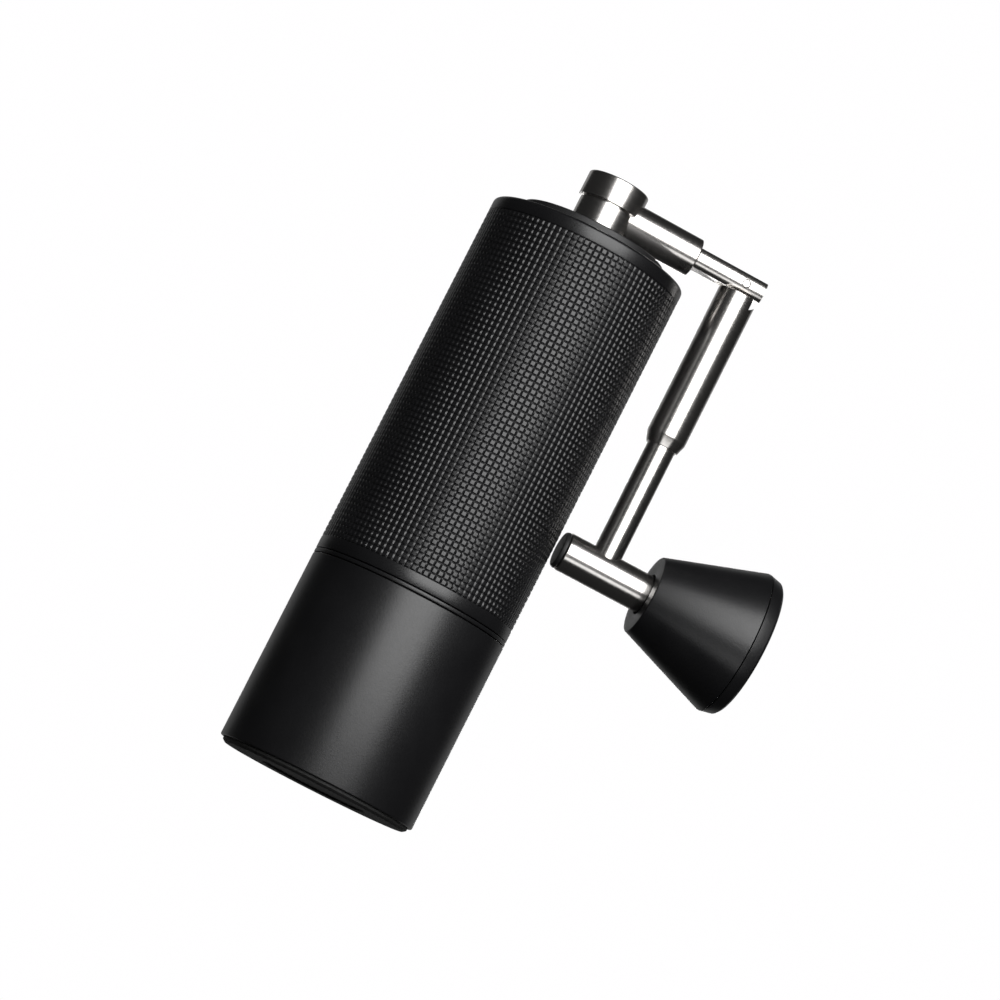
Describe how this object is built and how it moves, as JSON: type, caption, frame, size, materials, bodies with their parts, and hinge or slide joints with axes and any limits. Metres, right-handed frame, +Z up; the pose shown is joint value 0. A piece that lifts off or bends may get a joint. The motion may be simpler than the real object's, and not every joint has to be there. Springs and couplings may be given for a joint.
{
  "type": "hand crank coffee grinder",
  "caption": "Cylindrical hand coffee grinder with a grid-knurled barrel, screw-on catch cup, conical burrs and a steel crank that folds down beside the barrel to a conical knob.",
  "frame": {"origin": "centre of the flat underside of the base pad, on the axis of the barrel", "axes": "+Z up along the barrel axis to the crank hub; +X from the barrel axis to the folded crank arm and its knob; +Y completes the right-handed frame"},
  "size_m": [0.1075, 0.052, 0.1671],
  "materials": {
    "black_aluminium": "matt black bead-blasted and anodised",
    "polished_steel": "polished stainless steel",
    "bearing_steel": "ground steel",
    "burr_steel": "machined hardened steel",
    "black_plastic": "fine textured moulding",
    "rubber": "matt",
    "brass": "turned"
  },
  "bodies": {
    "barrel": {"barrel_shell": "black_aluminium", "collar_ring": "black_aluminium", "burr_housing": "black_plastic", "ring_burr": "burr_steel", "ring_burr_retainer": "brass", "hopper_liner": "black_plastic", "frame_circlip": "bearing_steel", "lower_bearing_bracket": "black_aluminium", "upper_bearing_bracket": "black_aluminium", "lower_bearing_outer_race": "bearing_steel", "upper_bearing_outer_race": "bearing_steel", "lower_bearing_ball_cage": "brass", "upper_bearing_ball_cage": "brass"},
    "cup_seal": {"cup_seal": "rubber"},
    "cup": {"catch_cup": "black_aluminium", "base_pad": "rubber"},
    "axle": {"axle": "polished_steel", "lower_bearing_inner_race": "bearing_steel", "upper_bearing_inner_race": "bearing_steel", "axle_circlip": "bearing_steel", "spring_washer": "bearing_steel", "burr_spring": "bearing_steel"},
    "burr": {"inner_burr": "burr_steel"},
    "dial": {"adjustment_dial": "black_aluminium", "click_plate": "bearing_steel"},
    "lid": {"lid": "black_plastic", "lid_seal": "rubber", "lid_bush": "brass"},
    "crank": {"crank_hub": "polished_steel", "hub_plug": "polished_steel", "hub_circlip": "bearing_steel", "arm_socket": "polished_steel", "hinge_fork": "polished_steel", "hinge_pin": "polished_steel"},
    "arm": {"arm_rod": "polished_steel", "knob_spindle": "polished_steel", "spindle_end_plug": "black_plastic", "knob_screw": "polished_steel"},
    "sleeve": {"lock_sleeve": "polished_steel"},
    "knob": {"knob": "black_aluminium", "knob_end_cap": "black_aluminium", "knob_bush": "brass"}
  },
  "joints": [
    {"name": "cup_pull", "type": "slide", "parent": "barrel", "child": "cup_seal", "axis": [0, 0, 1], "range_m": [-0.06, 0]},
    {"name": "cup_turn", "type": "hinge", "parent": "cup_seal", "child": "cup", "pos_m": [0, 0, 0.045], "axis": [0, 0, 1], "range_deg": [-540, 0]},
    {"name": "lid_lift", "type": "slide", "parent": "barrel", "child": "lid", "axis": [0, 0, 1], "range_m": [0, 0.04]},
    {"name": "crank_spin", "type": "hinge", "parent": "lid", "child": "crank", "pos_m": [0, 0, 0.155], "axis": [0, 0, 1], "continuous": true},
    {"name": "arm_fold", "type": "hinge", "parent": "crank", "child": "arm", "pos_m": [0.0392, 0, 0.16], "axis": [0, -1, 0], "range_deg": [0, 90]},
    {"name": "sleeve_slide", "type": "slide", "parent": "arm", "child": "sleeve", "axis": [0, 0, 1], "range_m": [-0.028, 0]},
    {"name": "knob_spin", "type": "hinge", "parent": "arm", "child": "knob", "pos_m": [0.06, 0, 0.0797], "axis": [1, 0, 0], "continuous": true},
    {"name": "axle_spin", "type": "hinge", "parent": "barrel", "child": "axle", "pos_m": [0, 0, 0.1], "axis": [0, 0, 1], "continuous": true},
    {"name": "burr_shift", "type": "slide", "parent": "axle", "child": "burr", "axis": [0, 0, 1], "range_m": [-0.00075, 0.00075], "deforming": ["burr_spring"]},
    {"name": "dial_turn", "type": "hinge", "parent": "burr", "child": "dial", "pos_m": [0, 0, 0.04], "axis": [0, 0, 1], "range_deg": [-360, 360]}
  ],
  "couplings": [
    {"joint": "axle_spin", "follows": "crank_spin", "ratio": 1},
    {"joint": "dial_turn", "follows": "burr_shift", "rad_per_m": 8377}
  ]
}
